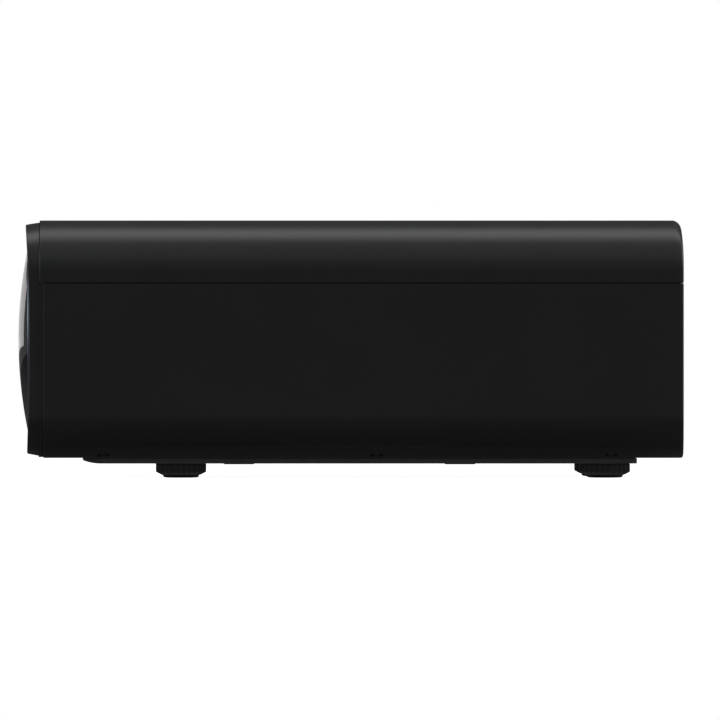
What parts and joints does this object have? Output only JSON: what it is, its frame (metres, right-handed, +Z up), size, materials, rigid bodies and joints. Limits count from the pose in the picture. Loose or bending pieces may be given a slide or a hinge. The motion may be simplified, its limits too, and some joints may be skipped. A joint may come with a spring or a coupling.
{
  "type": "home projector",
  "caption": "Long-bodied black home cinema projector with a large domed front lens, an arched top cover, motorised lens shift and screw-adjusted feet.",
  "frame": {"origin": "on the floor under the middle of the case, at the underside of the foot pads", "axes": "+Z up, the lens faces -Y, and +X is the side without keys"},
  "size_m": [0.45, 0.48, 0.1856],
  "materials": {
    "case_plastic": "satin, near black, fine even grain",
    "panel_plastic": "satin, near black",
    "plate_steel": "dark powder coat",
    "chassis_steel": "zinc plated sheet",
    "lens_glass": "polished, violet and green anti-reflection coating",
    "ring_metal": "dark blue-grey anodised",
    "dark_metal": "black anodised",
    "light_engine_casting": "cast and painted",
    "bright_metal": "extruded, mill finish",
    "screw_steel": "rolled thread",
    "socket_metal": "nickel plated",
    "gear_plastic": "moulded",
    "circuit_board": "solder mask",
    "filter_foam": "open foam",
    "key_plastic": "satin",
    "foot_plastic": "moulded, fluted",
    "pad_rubber": "matt",
    "smoked_window": "dark red, polished"
  },
  "bodies": {
    "root": {"top_cover": "case_plastic", "lower_case": "case_plastic", "front_panel": "panel_plastic", "rear_panel": "panel_plastic", "ac_inlet": "panel_plastic", "dust_shield": "panel_plastic", "fan_frame_right": "panel_plastic", "fan_frame_left": "panel_plastic", "fan_frame_intake": "panel_plastic", "bottom_plate": "plate_steel", "chassis": "chassis_steel", "shift_base": "dark_metal", "light_engine": "light_engine_casting", "laser_module": "light_engine_casting", "power_supply": "light_engine_casting", "heat_sink": "bright_metal", "vertical_shift_motor": "bright_metal", "hdmi_socket_1": "socket_metal", "hdmi_socket_2": "socket_metal", "usb_socket": "socket_metal", "lan_socket": "socket_metal", "main_board": "circuit_board", "key_board": "circuit_board", "ir_window": "smoked_window"},
    "lens_vertical": {"vertical_shift_plate": "dark_metal", "horizontal_shift_motor": "bright_metal"},
    "lens": {"horizontal_shift_plate": "dark_metal", "lens_barrel": "dark_metal", "lens_ring": "ring_metal", "front_lens": "lens_glass", "inner_lens": "lens_glass", "rear_lens": "lens_glass", "focus_motor": "bright_metal", "zoom_motor": "bright_metal"},
    "focus_ring": {"focus_ring": "gear_plastic"},
    "zoom_ring": {"zoom_ring": "gear_plastic"},
    "focus_pinion": {"focus_pinion": "gear_plastic"},
    "zoom_pinion": {"zoom_pinion": "gear_plastic"},
    "vertical_shift_screw": {"vertical_shift_screw": "screw_steel"},
    "horizontal_shift_screw": {"horizontal_shift_screw": "screw_steel"},
    "fan_right": {"fan_rotor_right": "gear_plastic"},
    "fan_left": {"fan_rotor_left": "gear_plastic"},
    "fan_intake": {"fan_rotor_intake": "gear_plastic"},
    "filter_tray": {"filter_cover": "panel_plastic", "air_filter": "filter_foam"},
    "enter_button": {"enter_button": "key_plastic"},
    "up_button": {"up_button": "key_plastic"},
    "down_button": {"down_button": "key_plastic"},
    "left_button": {"left_button": "key_plastic"},
    "right_button": {"right_button": "key_plastic"},
    "power_button": {"power_button": "key_plastic"},
    "menu_button": {"menu_button": "key_plastic"},
    "foot_front_right": {"foot_pad_front_right": "pad_rubber"},
    "foot_knob_front_right": {"foot_knob_front_right": "foot_plastic"},
    "foot_front_left": {"foot_pad_front_left": "pad_rubber"},
    "foot_knob_front_left": {"foot_knob_front_left": "foot_plastic"},
    "foot_rear_right": {"foot_pad_rear_right": "pad_rubber"},
    "foot_knob_rear_right": {"foot_knob_rear_right": "foot_plastic"},
    "foot_rear_left": {"foot_pad_rear_left": "pad_rubber"},
    "foot_knob_rear_left": {"foot_knob_rear_left": "foot_plastic"}
  },
  "joints": [
    {"name": "lens_shift_vertical", "type": "slide", "parent": "root", "child": "lens_vertical", "axis": [0, 0, 1], "range_m": [-0.005, 0.005]},
    {"name": "lens_shift_horizontal", "type": "slide", "parent": "lens_vertical", "child": "lens", "axis": [1, 0, 0], "range_m": [-0.0045, 0.0045]},
    {"name": "vertical_screw_turn", "type": "hinge", "parent": "root", "child": "vertical_shift_screw", "pos_m": [0.084, -0.1291, 0.1], "axis": [0, 0, 1], "range_deg": [-900, 900]},
    {"name": "horizontal_screw_turn", "type": "hinge", "parent": "lens_vertical", "child": "horizontal_shift_screw", "pos_m": [0, -0.1291, 0.1645], "axis": [1, 0, 0], "range_deg": [-812, 812]},
    {"name": "focus_turn", "type": "hinge", "parent": "lens", "child": "focus_ring", "pos_m": [0, -0.2001, 0.1], "axis": [0, 1, 0], "range_deg": [-35, 35]},
    {"name": "zoom_turn", "type": "hinge", "parent": "lens", "child": "zoom_ring", "pos_m": [0, -0.1781, 0.1], "axis": [0, 1, 0], "range_deg": [-35, 35]},
    {"name": "focus_pinion_turn", "type": "hinge", "parent": "lens", "child": "focus_pinion", "pos_m": [0.074, -0.2001, 0.1], "axis": [0, 1, 0], "range_deg": [-182, 182]},
    {"name": "zoom_pinion_turn", "type": "hinge", "parent": "lens", "child": "zoom_pinion", "pos_m": [-0.074, -0.1781, 0.1], "axis": [0, 1, 0], "range_deg": [-182, 182]},
    {"name": "fan_right_spin", "type": "hinge", "parent": "root", "child": "fan_right", "pos_m": [0.145, -0.2113, 0.1], "axis": [0, 1, 0], "continuous": true},
    {"name": "fan_left_spin", "type": "hinge", "parent": "root", "child": "fan_left", "pos_m": [-0.145, -0.2113, 0.1], "axis": [0, 1, 0], "continuous": true},
    {"name": "fan_intake_spin", "type": "hinge", "parent": "root", "child": "fan_intake", "pos_m": [-0.12, 0.2017, 0.0784], "axis": [0, 1, 0], "continuous": true},
    {"name": "filter_pull", "type": "slide", "parent": "root", "child": "filter_tray", "axis": [0, 1, 0], "range_m": [0, 0.05]},
    {"name": "enter_press", "type": "slide", "parent": "root", "child": "enter_button", "axis": [1, 0, 0], "range_m": [0, 0.0008], "stiffness_N_per_m": 300, "springref_m": -0.0008},
    {"name": "up_press", "type": "slide", "parent": "root", "child": "up_button", "axis": [1, 0, 0], "range_m": [0, 0.0008], "stiffness_N_per_m": 300, "springref_m": -0.0008},
    {"name": "down_press", "type": "slide", "parent": "root", "child": "down_button", "axis": [1, 0, 0], "range_m": [0, 0.0008], "stiffness_N_per_m": 300, "springref_m": -0.0008},
    {"name": "left_press", "type": "slide", "parent": "root", "child": "left_button", "axis": [1, 0, 0], "range_m": [0, 0.0008], "stiffness_N_per_m": 300, "springref_m": -0.0008},
    {"name": "right_press", "type": "slide", "parent": "root", "child": "right_button", "axis": [1, 0, 0], "range_m": [0, 0.0008], "stiffness_N_per_m": 300, "springref_m": -0.0008},
    {"name": "power_press", "type": "slide", "parent": "root", "child": "power_button", "axis": [1, 0, 0], "range_m": [0, 0.0008], "stiffness_N_per_m": 300, "springref_m": -0.0008},
    {"name": "menu_press", "type": "slide", "parent": "root", "child": "menu_button", "axis": [1, 0, 0], "range_m": [0, 0.0008], "stiffness_N_per_m": 300, "springref_m": -0.0008},
    {"name": "foot_travel_front_right", "type": "slide", "parent": "root", "child": "foot_front_right", "axis": [0, 0, -1], "range_m": [0, 0.008]},
    {"name": "foot_turn_front_right", "type": "hinge", "parent": "foot_front_right", "child": "foot_knob_front_right", "pos_m": [0.155, -0.122, 0], "axis": [0, 0, -1], "range_deg": [0, 1440]},
    {"name": "foot_travel_front_left", "type": "slide", "parent": "root", "child": "foot_front_left", "axis": [0, 0, -1], "range_m": [0, 0.008]},
    {"name": "foot_turn_front_left", "type": "hinge", "parent": "foot_front_left", "child": "foot_knob_front_left", "pos_m": [-0.155, -0.122, 0], "axis": [0, 0, -1], "range_deg": [0, 1440]},
    {"name": "foot_travel_rear_right", "type": "slide", "parent": "root", "child": "foot_rear_right", "axis": [0, 0, -1], "range_m": [0, 0.008]},
    {"name": "foot_turn_rear_right", "type": "hinge", "parent": "foot_rear_right", "child": "foot_knob_rear_right", "pos_m": [0.155, 0.184, 0], "axis": [0, 0, -1], "range_deg": [0, 1440]},
    {"name": "foot_travel_rear_left", "type": "slide", "parent": "root", "child": "foot_rear_left", "axis": [0, 0, -1], "range_m": [0, 0.008]},
    {"name": "foot_turn_rear_left", "type": "hinge", "parent": "foot_rear_left", "child": "foot_knob_rear_left", "pos_m": [-0.155, 0.184, 0], "axis": [0, 0, -1], "range_deg": [0, 1440]}
  ],
  "couplings": [
    {"joint": "vertical_screw_turn", "follows": "lens_shift_vertical", "rad_per_m": 3141.6},
    {"joint": "horizontal_screw_turn", "follows": "lens_shift_horizontal", "rad_per_m": 3141.6},
    {"joint": "focus_pinion_turn", "follows": "focus_turn", "ratio": -5.1667},
    {"joint": "zoom_pinion_turn", "follows": "zoom_turn", "ratio": -5.1667},
    {"joint": "foot_travel_front_right", "follows": "foot_turn_front_right", "m_per_rad": 0.0003183},
    {"joint": "foot_travel_front_left", "follows": "foot_turn_front_left", "m_per_rad": 0.0003183},
    {"joint": "foot_travel_rear_right", "follows": "foot_turn_rear_right", "m_per_rad": 0.0003183},
    {"joint": "foot_travel_rear_left", "follows": "foot_turn_rear_left", "m_per_rad": 0.0003183}
  ]
}
